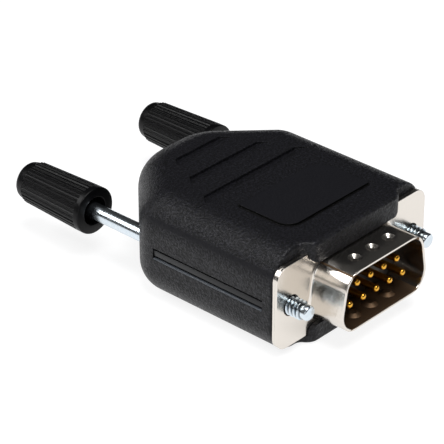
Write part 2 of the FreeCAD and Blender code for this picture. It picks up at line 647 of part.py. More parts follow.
    for number in range(round(value("scoop_count"))):
        rear = f"(scoop_first - {number} * scoop_pitch)"
        half = f"((scoop_width + {number} * scoop_growth) / 2)"
        floor = f"({height} - scoop_depth)"
        plan, thickness = layer(f"scoop_plan_{number}", floor, height)
        outline(plan, [(f"-({half} + scoop_flare)", f"{rear} - scoop_run", None),
                       (f"{half} + scoop_flare", f"{rear} - scoop_run", None),
                       (half, rear, None), (f"-{half}", rear, None)])
        extrude(body, "Pocket", f"scoop_{number}", plan, thickness)
        ramp = sketch_on(body, f"ramp_profile_{number}", "YZ_Plane", f"-({half} + 2 * scoop_flare)")
        outline(ramp, [(rear, f"{up} * {floor}", None), (f"{rear} - scoop_run", f"{up} * {floor}", None),
                       (f"{rear} - scoop_run", f"{up} * {height}", None)])
        extrude(body, "Pad", f"ramp_{number}", ramp, f"2 * {half} + 4 * scoop_flare")
    return body, layer


def upper_cover():
    """Upper half: the badge field and the sockets for the pegs."""
    body, layer = cover_half("upper_cover", 1)
    badge, thickness = layer("badge_plan", "cover_top", "(cover_top + badge_rise)")
    outline(badge, [("-badge_width / 2", "badge_front", "badge_front_corner"),
                    ("badge_width / 2", "badge_front", "badge_tight_corner"),
                    ("badge_width / 2", "badge_rear", "badge_rear_corner"),
                    ("-badge_width / 2", "badge_rear", "badge_tight_corner")])
    extrude(body, "Pad", "badge_field", badge, thickness)
    sockets, thickness = layer("socket_places", "0", "(peg_length + stop_gap)")
    for place in ("-peg_spacing / 2", "peg_spacing / 2"):
        circle(sockets, place, "cover_rear - peg_setback", "peg_diameter / 2 + seat_gap")
    extrude(body, "Pocket", "sockets", sockets, thickness)
    return body


def lower_cover():
    """Lower half: the pegs and the seat of the cable clamp."""
    body, layer = cover_half("lower_cover", -1)
    pegs = sketch_on(body, "peg_places", "XY_Plane", "-peg_length")
    for place in ("-peg_spacing / 2", "peg_spacing / 2"):
        circle(pegs, place, "cover_rear - peg_setback", "peg_diameter / 2")
    extrude(body, "Pad", "pegs", pegs, "2 * peg_length")
    seat, thickness = layer("seat_plan", "0", "(cover_bottom - cover_wall / 2)")
    rectangle(seat, "-chamber_x", "clamp_front", "chamber_x", "clamp_front + clamp_length")
    extrude(body, "Pad", "clamp_seat", seat, thickness)
    trough = sketch_on(body, "trough_place", "XZ_Plane", "clamp_front")
    circle(trough, "0", "0", "clamp_bore / 2")
    extrude(body, "Pocket", "cable_trough", trough, "clamp_length")
    holes, thickness = layer("clamp_hole_places", "0", "(clamp_screw_length + stop_gap - clamp_sheet)")
    for place in ("-clamp_screw_spacing / 2", "clamp_screw_spacing / 2"):
        circle(holes, place, "clamp_place", "clamp_screw_diameter / 2 + seat_gap")
    extrude(body, "Pocket", "clamp_holes", holes, thickness)
    return body


# Cable clamp
def clamp_bar():
    """Formed bar: two flat feet and an arch over the cable."""
    body = piece("clamp_bar")
    arch = sketch_on(body, "arch_outline", "XZ_Plane", "clamp_front")
    circle(arch, "0", "0", "clamp_arch")
    extrude(body, "Pad", "arch", arch, "clamp_length")
    feet = sketch_on(body, "feet_outline", "XZ_Plane", "clamp_front")
    rectangle(feet, "-clamp_span / 2", "0", "clamp_span / 2", "clamp_sheet")
    extrude(body, "Pad", "feet", feet, "clamp_length")
    below = sketch_on(body, "below_outline", "XZ_Plane", "clamp_front")
    rectangle(below, "-clamp_span / 2", "-clamp_span / 2", "clamp_span / 2", "0")
    extrude(body, "Pocket", "flat_side", below, "clamp_length")
    sheet = level_with("z", "clamp_sheet")
    near = value("clamp_arch")
    round_edges(body, "bends", "clamp_round", lambda *s: sheet(*s) and all(abs(spot.x) < near for spot in s)
                and s[0].y != s[2].y)
    space = sketch_on(body, "space_outline", "XZ_Plane", "clamp_front")
    circle(space, "0", "0", "clamp_bore / 2")
    extrude(body, "Pocket", "cable_space", space, "clamp_length")
    holes = sketch_on(body, "hole_places", "XY_Plane")
    for place in ("-clamp_screw_spacing / 2", "clamp_screw_spacing / 2"):
        circle(holes, place, "clamp_place", "clamp_screw_diameter / 2 + seat_gap")
    extrude(body, "Pocket", "holes", holes, "clamp_sheet")
    return body


def clamp_screw(side, place):
    """Slotted screw that draws the clamp bar down."""
    body = piece(f"{side}_clamp_screw", x=place, y="clamp_place")
    profile = sketch_on(body, "profile", "YZ_Plane")
    outline(profile, [("0", "clamp_sheet - clamp_screw_length", None),
                      ("clamp_screw_diameter / 2", "clamp_sheet - clamp_screw_length", None),
                      ("clamp_screw_diameter / 2", "clamp_sheet", None),
                      ("clamp_head_diameter / 2", "clamp_sheet", None),
                      ("clamp_head_diameter / 2", "clamp_sheet + clamp_head_height", "clamp_head_height / 2"),
                      ("0", "clamp_sheet + clamp_head_height", None)])
    revolve(body, "Revolution", "turned", profile, "V_Axis")
    slot = sketch_on(body, "slot_outline", "XY_Plane", "clamp_sheet + clamp_head_height - clamp_slot_depth")
    rectangle(slot, "-clamp_head_diameter", "-clamp_slot / 2", "clamp_head_diameter", "clamp_slot / 2")
    extrude(body, "Pocket", "slot", slot, "clamp_slot_depth")
    return body


# Jackscrews
def jackscrew(side, place):
    """Long screw: thread ahead of the flange, thinner rolled shank and the retaining ring's groove."""
    body = piece(f"{side}_jackscrew", x=place)
    groove = "(ring_thickness / 2 + groove_gap)"
    end = "(knob_front + knob_length - shank_end)"
    profile = sketch_on(body, "profile", "YZ_Plane")
    outline(profile, [("0", "thread_diameter / 2", None),
                      ("thread_tip - screw_reach", "thread_diameter / 2", None),
                      ("-screw_reach", "thread_diameter / 2 - thread_tip", None),
                      ("-screw_reach", "0", None),
                      (end, "0", None),
                      (end, "shank_diameter / 2", None),
                      (f"ring_place + {groove}", "shank_diameter / 2", None),
                      (f"ring_place + {groove}", "groove_diameter / 2", None),
                      (f"ring_place - {groove}", "groove_diameter / 2", None),
                      (f"ring_place - {groove}", "shank_diameter / 2", None),
                      ("(thread_diameter - shank_diameter) / 2", "shank_diameter / 2", None)])
    revolve(body, "Revolution", "turned", profile, "H_Axis")
    return body


def retaining_ring(side, place):
    """Open ring that snaps into the screw's groove and runs in the cover's channel."""
    body = piece(f"{side}_retaining_ring", x=place)
    ring = sketch_on(body, "ring_outline", "XZ_Plane", "ring_place - ring_thickness / 2")
    circle(ring, "0", "0", "ring_diameter / 2")
    circle(ring, "0", "0", "groove_diameter / 2 + groove_gap")
    extrude(body, "Pad", "ring", ring, "ring_thickness")
    mouth = sketch_on(body, "mouth_outline", "XZ_Plane", "ring_place - ring_thickness / 2")
    rectangle(mouth, "-ring_mouth / 2", "-ring_diameter", "ring_mouth / 2", "0")
    extrude(body, "Pocket", "mouth", mouth, "ring_thickness")
    return body


def knob(side, place):
    """Ribbed knob with a smooth rim in front and a smooth cap behind."""
    body = piece(f"{side}_knob", x=place)
    back = "(knob_front + knob_length)"
    step = f"({back} - cap_length)"
    waist = "(knob_radius - knob_draft)"
    profile = sketch_on(body, "profile", "YZ_Plane")
    outline(profile, [("knob_front", "mouth_diameter / 2", None),
                      ("knob_front + mouth_depth", "mouth_diameter / 2", None),
                      ("knob_front + mouth_depth", "shank_diameter / 2 + groove_gap", None),
                      (f"{back} - shank_end + groove_gap", "shank_diameter / 2 + groove_gap", None),
                      (f"{back} - shank_end + groove_gap", "0", None),
                      (back, "0", None),
                      (back, f"{waist} - cap_step", "cap_round"),
                      (step, f"{waist} - cap_step", None),
                      (step, waist, None),
                      ("knob_front + rim_length", "knob_radius", None),
                      ("knob_front", "knob_radius", "rim_round")])
    revolve(body, "Revolution", "turned", profile, "H_Axis")
    wide = sketch_on(body, "groove_front", "XZ_Plane", "knob_front + rim_length")
    circle(wide, "0", "knob_radius", "rib_groove")
    narrow = sketch_on(body, "groove_back", "XZ_Plane", step)
    circle(narrow, "0", waist, "rib_groove")
    cut = body.newObject("PartDesign::SubtractiveLoft", "rib_cut")
    cut.Profile = wide
    cut.Sections = [narrow]
    ribs = body.newObject("PartDesign::PolarPattern", "ribs")
    ribs.Originals = [cut]
    ribs.Axis = (profile, ["H_Axis"])
    ribs.Angle = 360
    bind(ribs, "Occurrences", "rib_count")
    body.Tip = ribs
    return body


pieces = [upper_cover(), lower_cover(), front_shell(), rear_shell(), front_insulator(), rear_insulator()]
pieces += [contact(*place) for place in pin_places()]
pieces.append(clamp_bar())
for side, sign in (("left", "-"), ("right", "")):
    pieces.append(clamp_screw(side, f"{sign}clamp_screw_spacing / 2"))
    pieces.append(jackscrew(side, f"{sign}screw_x"))
    pieces.append(retaining_ring(side, f"{sign}screw_x"))
    pieces.append(knob(side, f"{sign}screw_x"))
doc.recompute()

# Checks before anything is written
for thing in doc.Objects:
    if "Invalid" in thing.State or "Error" in thing.State:
        raise RuntimeError(f"{thing.FullName} failed")
    base = getattr(thing, "BaseFeature", None)
    if base and thing.TypeId != "PartDesign::Body" and abs(thing.Shape.Volume - base.Shape.Volume) < 1e-6:
        raise RuntimeError(f"{thing.Name} changes nothing")
for body in pieces:
    if body.Shape.isNull() or not body.Shape.isValid() or len(body.Shape.Solids) != 1:
        raise RuntimeError(f"{body.Label} is not one valid solid")

os.makedirs("parts", exist_ok=True)
for body in pieces:
    body.Shape.exportStep(f"parts/{body.Label}.step")
    print(body.Label, f"{body.Shape.Volume:.2f} mm3")
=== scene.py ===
# %% [markdown]
# A nine-way cable plug, dressed for its picture
#
# The plug has a D-shaped shell of nickel-plated steel with nine gold-plated pins,
# a black moulded cover in two halves, and a long zinc-plated jackscrew with a
# ribbed knob along each side. The CAD model gives every size, so the first cell
# loads it as a fixed frame, and each later cell adds a finish or a piece to it.

# %% Load the frame
import bpy
import bmesh
import math
from mathutils import Matrix, Vector


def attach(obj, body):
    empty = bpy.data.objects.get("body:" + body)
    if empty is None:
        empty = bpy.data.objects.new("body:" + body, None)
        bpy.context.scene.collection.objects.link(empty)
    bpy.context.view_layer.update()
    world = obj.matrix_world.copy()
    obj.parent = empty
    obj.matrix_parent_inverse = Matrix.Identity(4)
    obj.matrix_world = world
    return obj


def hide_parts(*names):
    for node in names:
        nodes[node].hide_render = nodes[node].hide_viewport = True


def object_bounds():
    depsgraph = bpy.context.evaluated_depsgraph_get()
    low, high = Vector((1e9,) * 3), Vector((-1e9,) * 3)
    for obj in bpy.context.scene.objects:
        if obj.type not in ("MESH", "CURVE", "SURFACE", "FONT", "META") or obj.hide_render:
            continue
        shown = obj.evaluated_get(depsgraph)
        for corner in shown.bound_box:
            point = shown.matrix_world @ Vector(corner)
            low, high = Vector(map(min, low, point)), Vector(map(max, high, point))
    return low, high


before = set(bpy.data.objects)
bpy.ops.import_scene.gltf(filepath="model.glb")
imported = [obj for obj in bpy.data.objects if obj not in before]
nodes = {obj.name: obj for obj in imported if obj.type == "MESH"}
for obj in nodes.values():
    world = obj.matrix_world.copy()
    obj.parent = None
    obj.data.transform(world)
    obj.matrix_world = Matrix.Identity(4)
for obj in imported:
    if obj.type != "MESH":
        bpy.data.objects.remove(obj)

cad_low, cad_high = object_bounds()
mm = 0.001
print("CAD box in mm:", [round(x / mm, 2) for x in (*cad_low, *cad_high)])


# %% [markdown]
# Colours
#
# A colour is easiest to read as the hex code that a paint program shows, but the
# shaders work in linear light. One function turns the first into the second.

# %% Hex colours to linear light
def linear(code):
    """Linear RGBA of an sRGB hex code."""
    parts = [int(code[i:i + 2], 16) / 255 for i in (0, 2, 4)]
    return [c / 12.92 if c <= 0.04045 else ((c + 0.055) / 1.055) ** 2.4 for c in parts] + [1.0]


print("mid grey 808080 is", round(linear("808080")[0], 3), "in linear light")


# %% [markdown]
# Node trees
#
# Every material below is a few nodes between the object's own coordinates and one
# Principled shader. A small helper adds a node with its settings and its links, so
# that each finish reads as a short list.

# %% A helper for nodes, and one for an empty material
def add(tree, kind, inputs=None, **settings):
    """Adds a node. An input is a plain value, or the output that feeds it."""
    made = tree.nodes.new(kind)
    for name, setting in settings.items():
        setattr(made, name, setting)
    for name, value in (inputs or {}).items():
        if isinstance(value, bpy.types.NodeSocket):
            tree.links.new(value, made.inputs[name])
        else:
            made.inputs[name].default_value = value
    return made


def material(name):
    """A material with an empty tree, and the object's own coordinates in metres."""
    made = bpy.data.materials.new(name)
    made.use_nodes = True
    made.node_tree.nodes.clear()
    return made, made.node_tree, add(made.node_tree, "ShaderNodeTexCoord").outputs["Object"]


print("helpers ready: add, material")

# %% [markdown]
# Where the cover is smooth
#
# The cover is moulded ABS. Most of its mould was spark-eroded, which leaves a
# grain, but two places were polished: the badge field on top, and the channel
# along each side. They could be pieces with a finish of their own. It is simpler
# to let one material tell them apart by where they lie: the badge stands higher
# than the rest of the top, and the channel's floor keeps one distance from the
# middle. Each test gives 1 in its place and 0 elsewhere, and the larger of the
# two is the mask.

# %% Masks for the badge field and the channels
abs_black, tree, place = material("spark-eroded black ABS")
cover_top, channel_floor = 8.0, 15.1
split = add(tree, "ShaderNodeSeparateXYZ", {"Vector": place})
outward = add(tree, "ShaderNodeMath", {0: split.outputs["X"]}, operation="ABSOLUTE")
badge = add(tree, "ShaderNodeMath", {0: split.outputs["Z"], 1: (cover_top + 0.02) * mm},
            operation="GREATER_THAN")
channel = add(tree, "ShaderNodeMath", {0: outward.outputs["Value"], 1: channel_floor * mm,
                                       2: 0.15 * mm}, operation="COMPARE")
polished = add(tree, "ShaderNodeMath", {0: badge.outputs["Value"], 1: channel.outputs["Value"]},
               operation="MAXIMUM")
print("polished above", cover_top, "mm, and at", channel_floor, "mm from the middle")

# %% [markdown]
# Painted shade round the badge
#
# A dark line of painted shade runs round the foot of the badge field, where the
# badge's wall shades the top. It could be cut into the solid, but nothing shows
# how deep it is, and its shade is all that the eye sees, so it is drawn in the
# material. That takes the distance of a point from the badge's outline. The
# absolute values of x and y fold the four corners onto one. With the corner's
# radius added, the half width and the half length are subtracted, and the length
# of what is left over, less the radius, is the distance. Two corners are wide and
# two are tight, and the sign of x times y tells which kind a point is near.

# %% Distance from the badge's outline
half_width, half_length, badge_middle = 8.25, 4.525, 8.675
tight, front_left, rear_right = 0.4, 2.2, 3.2
shade_ring_middle, shade_ring_half = 0.12, 0.15
along = add(tree, "ShaderNodeMath", {0: split.outputs["Y"], 1: badge_middle * mm},
            operation="SUBTRACT")
lengthwise = add(tree, "ShaderNodeMath", {0: along.outputs["Value"]}, operation="ABSOLUTE")
crossed = add(tree, "ShaderNodeMath", {0: split.outputs["X"], 1: along.outputs["Value"]},
              operation="MULTIPLY")
near_wide = add(tree, "ShaderNodeMath", {0: crossed.outputs["Value"], 1: 0.0},
                operation="GREATER_THAN")
on_right = add(tree, "ShaderNodeMath", {0: split.outputs["X"], 1: 0.0}, operation="GREATER_THAN")
wide_corner = add(tree, "ShaderNodeMapRange", {"Value": on_right.outputs["Value"],
                                               "To Min": front_left * mm,
                                               "To Max": rear_right * mm})
corner = add(tree, "ShaderNodeMix", {"Factor": near_wide.outputs["Value"], "A": tight * mm,
                                     "B": wide_corner.outputs["Result"]}, data_type="FLOAT")
folded = add(tree, "ShaderNodeCombineXYZ", {"X": outward.outputs["Value"],
                                            "Y": lengthwise.outputs["Value"]})
rounding = add(tree, "ShaderNodeCombineXYZ", {"X": corner.outputs["Result"],
                                              "Y": corner.outputs["Result"]})
grown = add(tree, "ShaderNodeVectorMath", {0: folded.outputs["Vector"],
                                           1: rounding.outputs["Vector"]}, operation="ADD")
beyond = add(tree, "ShaderNodeVectorMath", {0: grown.outputs["Vector"],
                                            1: (half_width * mm, half_length * mm, 0.0)},
             operation="SUBTRACT")
left_over = add(tree, "ShaderNodeVectorMath", {0: beyond.outputs["Vector"], 1: (0.0, 0.0, 0.0)},
                operation="MAXIMUM")
reach = add(tree, "ShaderNodeVectorMath", {0: left_over.outputs["Vector"]}, operation="LENGTH")
from_outline = add(tree, "ShaderNodeMath", {0: reach.outputs["Value"],
                                            1: corner.outputs["Result"]}, operation="SUBTRACT")
# The ring of painted shade lies just outside the badge's outline, on the cover's top.
shade_ring = add(tree, "ShaderNodeMath", {0: from_outline.outputs["Value"], 1: shade_ring_middle * mm,
                                    2: shade_ring_half * mm}, operation="COMPARE")
on_top = add(tree, "ShaderNodeMath", {0: split.outputs["Z"], 1: (cover_top - 0.1) * mm},
             operation="GREATER_THAN")
painted_foot_shade = add(tree, "ShaderNodeMath", {0: shade_ring.outputs["Value"], 1: on_top.outputs["Value"]},
             operation="MULTIPLY")
print("groove round a badge of", 2 * half_width, "x", 2 * half_length, "mm")

# %% [markdown]
# Spark-eroded ABS for the cover
#
# Sparks leave tiny craters in the mould, and the plastic copies them as an even
# grain. The real craters are a tenth or two of a millimetre wide, which is about
# one pixel here, so they are drawn 0.32 mm wide to show at all. One noise does
# three things. It tilts the surface, through a bump that is gentler where the
# mould was polished. It paints the crests grey, a painted glint of the sheen on
# the grain. And it makes the crests glossier than the pits. A second, coarser
# noise lets the black vary a little over the cover. The edges leave the mould with
# a small radius, which the Bevel node adds to the shading alone.

# %% Grain of the cover
grain_size, cloud_size, edge_radius = 0.32, 4.0, 0.08
craters = add(tree, "ShaderNodeTexNoise", {"Vector": place, "Scale": 1 / (grain_size * mm),
                                           "Detail": 2.0, "Roughness": 0.6})
clouds = add(tree, "ShaderNodeTexNoise", {"Vector": place, "Scale": 1 / (cloud_size * mm),
                                          "Detail": 3.0})
soft_edge = add(tree, "ShaderNodeBevel", {"Radius": edge_radius * mm}, samples=6)
bite = add(tree, "ShaderNodeMapRange", {"Value": polished.outputs["Value"], "To Min": 0.9,
                                        "To Max": 0.35})
grain = add(tree, "ShaderNodeBump", {"Height": craters.outputs["Fac"],
                                     "Strength": bite.outputs["Result"], "Distance": 0.18 * mm,
                                     "Normal": soft_edge.outputs["Normal"]})
dull = add(tree, "ShaderNodeMapRange", {"Value": craters.outputs["Fac"], "From Min": 0.35,
                                        "From Max": 0.65, "To Min": 0.52, "To Max": 0.32})
print("cover grain:", grain_size, "mm")

# %% Colour of the cover
# Painted glints: the grain's crests are mixed towards a lighter grey for the sheen on the grain;
# the polished badge and channels take one even grey.
crest_glints = add(tree, "ShaderNodeMapRange", {"Value": craters.outputs["Fac"], "From Min": 0.42,
                                          "From Max": 0.68})
glints_and_polish = add(tree, "ShaderNodeMix", {"Factor": polished.outputs["Value"],
                                     "A": crest_glints.outputs["Result"], "B": 0.38}, data_type="FLOAT")
black = add(tree, "ShaderNodeMix", {"Factor": clouds.outputs["Fac"], "A": linear("060607"),
                                    "B": linear("0b0b0e")}, data_type="RGBA")
grey = add(tree, "ShaderNodeMix", {"Factor": glints_and_polish.outputs["Result"],
                                   "A": black.outputs["Result"], "B": linear("212126")},
           data_type="RGBA")
# Painted shade: a near-black line round the badge's foot.
colour = add(tree, "ShaderNodeMix", {"Factor": painted_foot_shade.outputs["Value"],
                                     "A": grey.outputs["Result"], "B": linear("020202")},
             data_type="RGBA")
shader = add(tree, "ShaderNodeBsdfPrincipled", {"Base Color": colour.outputs["Result"],
                                                "IOR": 1.53, "Specular IOR Level": 0.22,
                                                "Roughness": dull.outputs["Result"],
                                                "Normal": grain.outputs["Normal"]})
add(tree, "ShaderNodeOutputMaterial", {"Surface": shader.outputs["BSDF"]})
for name in ("upper_cover", "lower_cover"):
    nodes[name].data.materials[0] = abs_black
print(abs_black.name, "has", len(tree.nodes), "nodes")

# %% [markdown]
# Moulded nylon for the knobs
#
# The knobs are moulded nylon from a smooth mould, so they are blacker and a little
# glossier than the cover, with only a faint unevenness from the melt's flow.

# %% Moulded nylon
nylon, tree, place = material("moulded black nylon")
flow = add(tree, "ShaderNodeTexNoise", {"Vector": place, "Scale": 1 / (0.5 * mm), "Detail": 3.0})
soft_edge = add(tree, "ShaderNodeBevel", {"Radius": 0.12 * mm}, samples=6)
ripple = add(tree, "ShaderNodeBump", {"Height": flow.outputs["Fac"], "Strength": 0.35,
                                      "Distance": 0.03 * mm,
                                      "Normal": soft_edge.outputs["Normal"]})
dull = add(tree, "ShaderNodeMapRange", {"Value": flow.outputs["Fac"], "To Min": 0.30,
                                        "To Max": 0.42})
shader = add(tree, "ShaderNodeBsdfPrincipled", {"Base Color": linear("060607"), "IOR": 1.53,
                                                "Specular IOR Level": 0.15,
                                                "Roughness": dull.outputs["Result"],
                                                "Normal": ripple.outputs["Normal"]})
add(tree, "ShaderNodeOutputMaterial", {"Surface": shader.outputs["BSDF"]})
print(nylon.name, "has", len(tree.nodes), "nodes")

# %% [markdown]
# Moulded PBT for the insulators
#
# The two blocks that carry the contacts are black glass-filled PBT. The glass
# fibres leave the face slightly rough and a touch brown.

# %% Glass-filled PBT
pbt, tree, place = material("glass-filled black PBT")
fibres = add(tree, "ShaderNodeTexNoise", {"Vector": place, "Scale": 1 / (0.2 * mm), "Detail": 2.0})
rough_face = add(tree, "ShaderNodeBump", {"Height": fibres.outputs["Fac"], "Strength": 0.3,
                                          "Distance": 0.02 * mm})
shader = add(tree, "ShaderNodeBsdfPrincipled", {"Base Color": linear("15110f"), "IOR": 1.57,
                                                "Roughness": 0.45,
                                                "Normal": rough_face.outputs["Normal"]})
add(tree, "ShaderNodeOutputMaterial", {"Surface": shader.outputs["BSDF"]})
for name in ("front_insulator", "rear_insulator"):
    nodes[name].data.materials[0] = pbt
print(pbt.name, "has", len(tree.nodes), "nodes")

# %% [markdown]
# Nickel plate for the shells
#
# The shells are deep-drawn steel with a satin nickel plate. Nickel is a warm white
# metal. Drawing stretches the skirt, so the plate over it is not flat like a
# mirror: long shallow waves bend what it reflects, and fine pits dull it a little.
# The flange is hardly stretched, so its waves are faint. Inside, the skirt is
# painted brown and made duller; the brown is painted shade and a painted
# reflection of the brown insulator. That place is told apart as the cover's are:
# it lies ahead of the flange, between the two long walls and well inside the
# slanted ones.

# %% Relief of the nickel plate
nickel, tree, place = material("satin nickel-plated steel")
split = add(tree, "ShaderNodeSeparateXYZ", {"Vector": place})
waves = add(tree, "ShaderNodeTexNoise", {"Vector": place, "Scale": 1 / (2.5 * mm), "Detail": 2.0})
pits = add(tree, "ShaderNodeTexNoise", {"Vector": place, "Scale": 1 / (0.12 * mm), "Detail": 2.0})
soft_edge = add(tree, "ShaderNodeBevel", {"Radius": 0.1 * mm}, samples=6)
stretch = add(tree, "ShaderNodeMapRange", {"Value": split.outputs["Y"], "From Min": -0.9 * mm,
                                           "From Max": -0.1 * mm, "To Min": 0.45, "To Max": 0.12})
drawn = add(tree, "ShaderNodeBump", {"Height": waves.outputs["Fac"],
                                     "Strength": stretch.outputs["Result"], "Distance": 0.15 * mm,
                                     "Normal": soft_edge.outputs["Normal"]})
pitted = add(tree, "ShaderNodeBump", {"Height": pits.outputs["Fac"], "Strength": 0.12,
                                      "Distance": 0.01 * mm, "Normal": drawn.outputs["Normal"]})
print("waves 2.5 mm and pits 0.12 mm wide")

# %% Colour of the nickel plate
inner_height, inner_width = 4.2, 7.0
between = add(tree, "ShaderNodeMath", {0: split.outputs["Z"], 1: 0.0, 2: inner_height * mm},
              operation="COMPARE")
amid = add(tree, "ShaderNodeMath", {0: split.outputs["X"], 1: 0.0, 2: inner_width * mm},
           operation="COMPARE")
ahead = add(tree, "ShaderNodeMath", {0: split.outputs["Y"], 1: 0.0}, operation="LESS_THAN")
core = add(tree, "ShaderNodeMath", {0: between.outputs["Value"], 1: amid.outputs["Value"]},
           operation="MULTIPLY")
# Painted shade and a painted reflection of the brown insulator inside the skirt.
inner_shade = add(tree, "ShaderNodeMath", {0: core.outputs["Value"], 1: ahead.outputs["Value"]},
             operation="MULTIPLY")
colour = add(tree, "ShaderNodeMix", {"Factor": inner_shade.outputs["Value"], "A": linear("e0dad2"),
                                     "B": linear("6e5a47")}, data_type="RGBA")
satin = add(tree, "ShaderNodeMapRange", {"Value": pits.outputs["Fac"], "To Min": 0.16,
                                         "To Max": 0.26})
dull = add(tree, "ShaderNodeMix", {"Factor": inner_shade.outputs["Value"],
                                   "A": satin.outputs["Result"], "B": 0.5}, data_type="FLOAT")
shader = add(tree, "ShaderNodeBsdfPrincipled", {"Base Color": colour.outputs["Result"],
                                                "Metallic": 1.0,
                                                "Roughness": dull.outputs["Result"],
                                                "Normal": pitted.outputs["Normal"]})
add(tree, "ShaderNodeOutputMaterial", {"Surface": shader.outputs["BSDF"]})
for name in ("front_shell", "rear_shell"):
    nodes[name].data.materials[0] = nickel
print(nickel.name, "has", len(tree.nodes), "nodes")

# %% [markdown]
# Gold plate for the contacts
#
# The pins are turned brass with a thin gold plate over nickel. The turning marks
# show through as fine rings around each pin. A noise that is squeezed twelve times
# along the pin gives them, 0.1 mm apart.

# %% Gold plate
gold, tree, place = material("gold-plated turned brass")
squeezed = add(tree, "ShaderNodeMapping", {"Vector": place, "Scale": (1.0, 12.0, 1.0)})
rings = add(tree, "ShaderNodeTexNoise", {"Vector": squeezed.outputs["Vector"],
                                         "Scale": 1 / (1.2 * mm), "Detail": 2.0})
marks = add(tree, "ShaderNodeBump", {"Height": rings.outputs["Fac"], "Strength": 0.15,
                                     "Distance": 0.02 * mm})
shader = add(tree, "ShaderNodeBsdfPrincipled", {"Base Color": linear("e2a93e"), "Metallic": 1.0,
                                                "Roughness": 0.24,
                                                "Normal": marks.outputs["Normal"]})
add(tree, "ShaderNodeOutputMaterial", {"Surface": shader.outputs["BSDF"]})
for number in range(1, 10):
    nodes[f"contact_{number}"].data.materials[0] = gold
print(gold.name, "has", len(tree.nodes), "nodes")

# %% [markdown]
# Blue zinc plate for the screws
#
# The jackscrews, the clamp and its screws are steel with bright zinc and a clear
# blue passivation. The plate is smooth but slightly cloudy, so its tint and its
# roughness vary in soft patches. The roots of the thread are painted darker, as
# painted shade in the thread's hollows. They are told by the distance from the
# screw's axis, which grows from root to crest, and only over the thread's length.

# %% Blue zinc plate
zinc, tree, place = material("blue-passivated zinc plate")
patches = add(tree, "ShaderNodeTexNoise", {"Vector": place, "Scale": 1 / (0.6 * mm),
                                           "Detail": 3.0})
tint = add(tree, "ShaderNodeMix", {"Factor": patches.outputs["Fac"], "A": linear("c9d6e0"),
                                   "B": linear("e4ebf0")}, data_type="RGBA")
dull = add(tree, "ShaderNodeMapRange", {"Value": patches.outputs["Fac"], "To Min": 0.19,
                                        "To Max": 0.28})
print("cloudy patches 0.6 mm wide")

# %% Painted shade in the thread's roots
screw_x = 12.495
split = add(tree, "ShaderNodeSeparateXYZ", {"Vector": place})
outward = add(tree, "ShaderNodeMath", {0: split.outputs["X"]}, operation="ABSOLUTE")
across = add(tree, "ShaderNodeMath", {0: outward.outputs["Value"], 1: screw_x * mm},
             operation="SUBTRACT")
spoke = add(tree, "ShaderNodeCombineXYZ", {"X": across.outputs["Value"],
                                           "Z": split.outputs["Z"]})
from_axis = add(tree, "ShaderNodeVectorMath", {0: spoke.outputs["Vector"]}, operation="LENGTH")
root_shade_amount = add(tree, "ShaderNodeMapRange", {"Value": from_axis.outputs["Value"],
                                        "From Min": 1.04 * mm, "From Max": 1.26 * mm,
                                        "To Min": 0.85, "To Max": 0.0})
threaded = add(tree, "ShaderNodeMath", {0: split.outputs["Y"], 1: -1.2 * mm, 2: 1.15 * mm},
               operation="COMPARE")
# Painted shade: the thread's roots are darkened towards the screw's axis.
root_shade = add(tree, "ShaderNodeMath", {0: root_shade_amount.outputs["Result"], 1: threaded.outputs["Value"]},
           operation="MULTIPLY")
colour = add(tree, "ShaderNodeMix", {"Factor": root_shade.outputs["Value"],
                                     "A": tint.outputs["Result"], "B": linear("4a565c")},
             data_type="RGBA")
shader = add(tree, "ShaderNodeBsdfPrincipled", {"Base Color": colour.outputs["Result"],
                                                "Metallic": 1.0,
                                                "Roughness": dull.outputs["Result"]})
add(tree, "ShaderNodeOutputMaterial", {"Surface": shader.outputs["BSDF"]})
for name in ("clamp_bar", "left_clamp_screw", "right_clamp_screw", "left_retaining_ring",
             "right_retaining_ring"):
    nodes[name].data.materials[0] = zinc
print(zinc.name, "has", len(tree.nodes), "nodes")


# %% [markdown]
# Helpers for turned pieces
#
# Screws and knobs are turned or moulded round, so they are made the way a lathe
# makes them: a profile of radius against length, spun once around the axis. All
# the axes here run along Y. A second helper shades a finished mesh, gives it its
# material and says which body carries it.

# %% Lathe and object helpers
sides = (("left", -1), ("right", 1))


def lathe(mesh, x, profile, steps=64):
    """Spins a profile of (y, radius) in mm around a line along Y through x."""
    known = set(mesh.verts)
    line = [mesh.verts.new((x * mm + radius * mm, y * mm, 0)) for y, radius in profile]
    edges = [mesh.edges.new(pair) for pair in zip(line, line[1:])]
    bmesh.ops.spin(mesh, geom=line + edges, cent=(x * mm, 0, 0), axis=(0, 1, 0),
                   angle=2 * math.pi, steps=steps, use_merge=True)
    made = [v for v in mesh.verts if v not in known]
    bmesh.ops.remove_doubles(mesh, verts=made, dist=0.001 * mm)


def finished(name, mesh, finish, body, slot, *stands_for):
    """Turns a bmesh into a smooth piece that rides on a body, and may replace CAD nodes."""
    bmesh.ops.recalc_face_normals(mesh, faces=mesh.faces)
    data = bpy.data.meshes.new(name)
    mesh.to_mesh(data)
    mesh.free()
    data.materials.append(finish)
    data.shade_smooth()
    data.set_sharp_from_angle(angle=math.radians(38))
    made = bpy.data.objects.new(name, data)
    bpy.context.scene.collection.objects.link(made)
    if stands_for:
        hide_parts(*stands_for)
    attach(made, body)
    print(name, len(data.polygons), "faces")
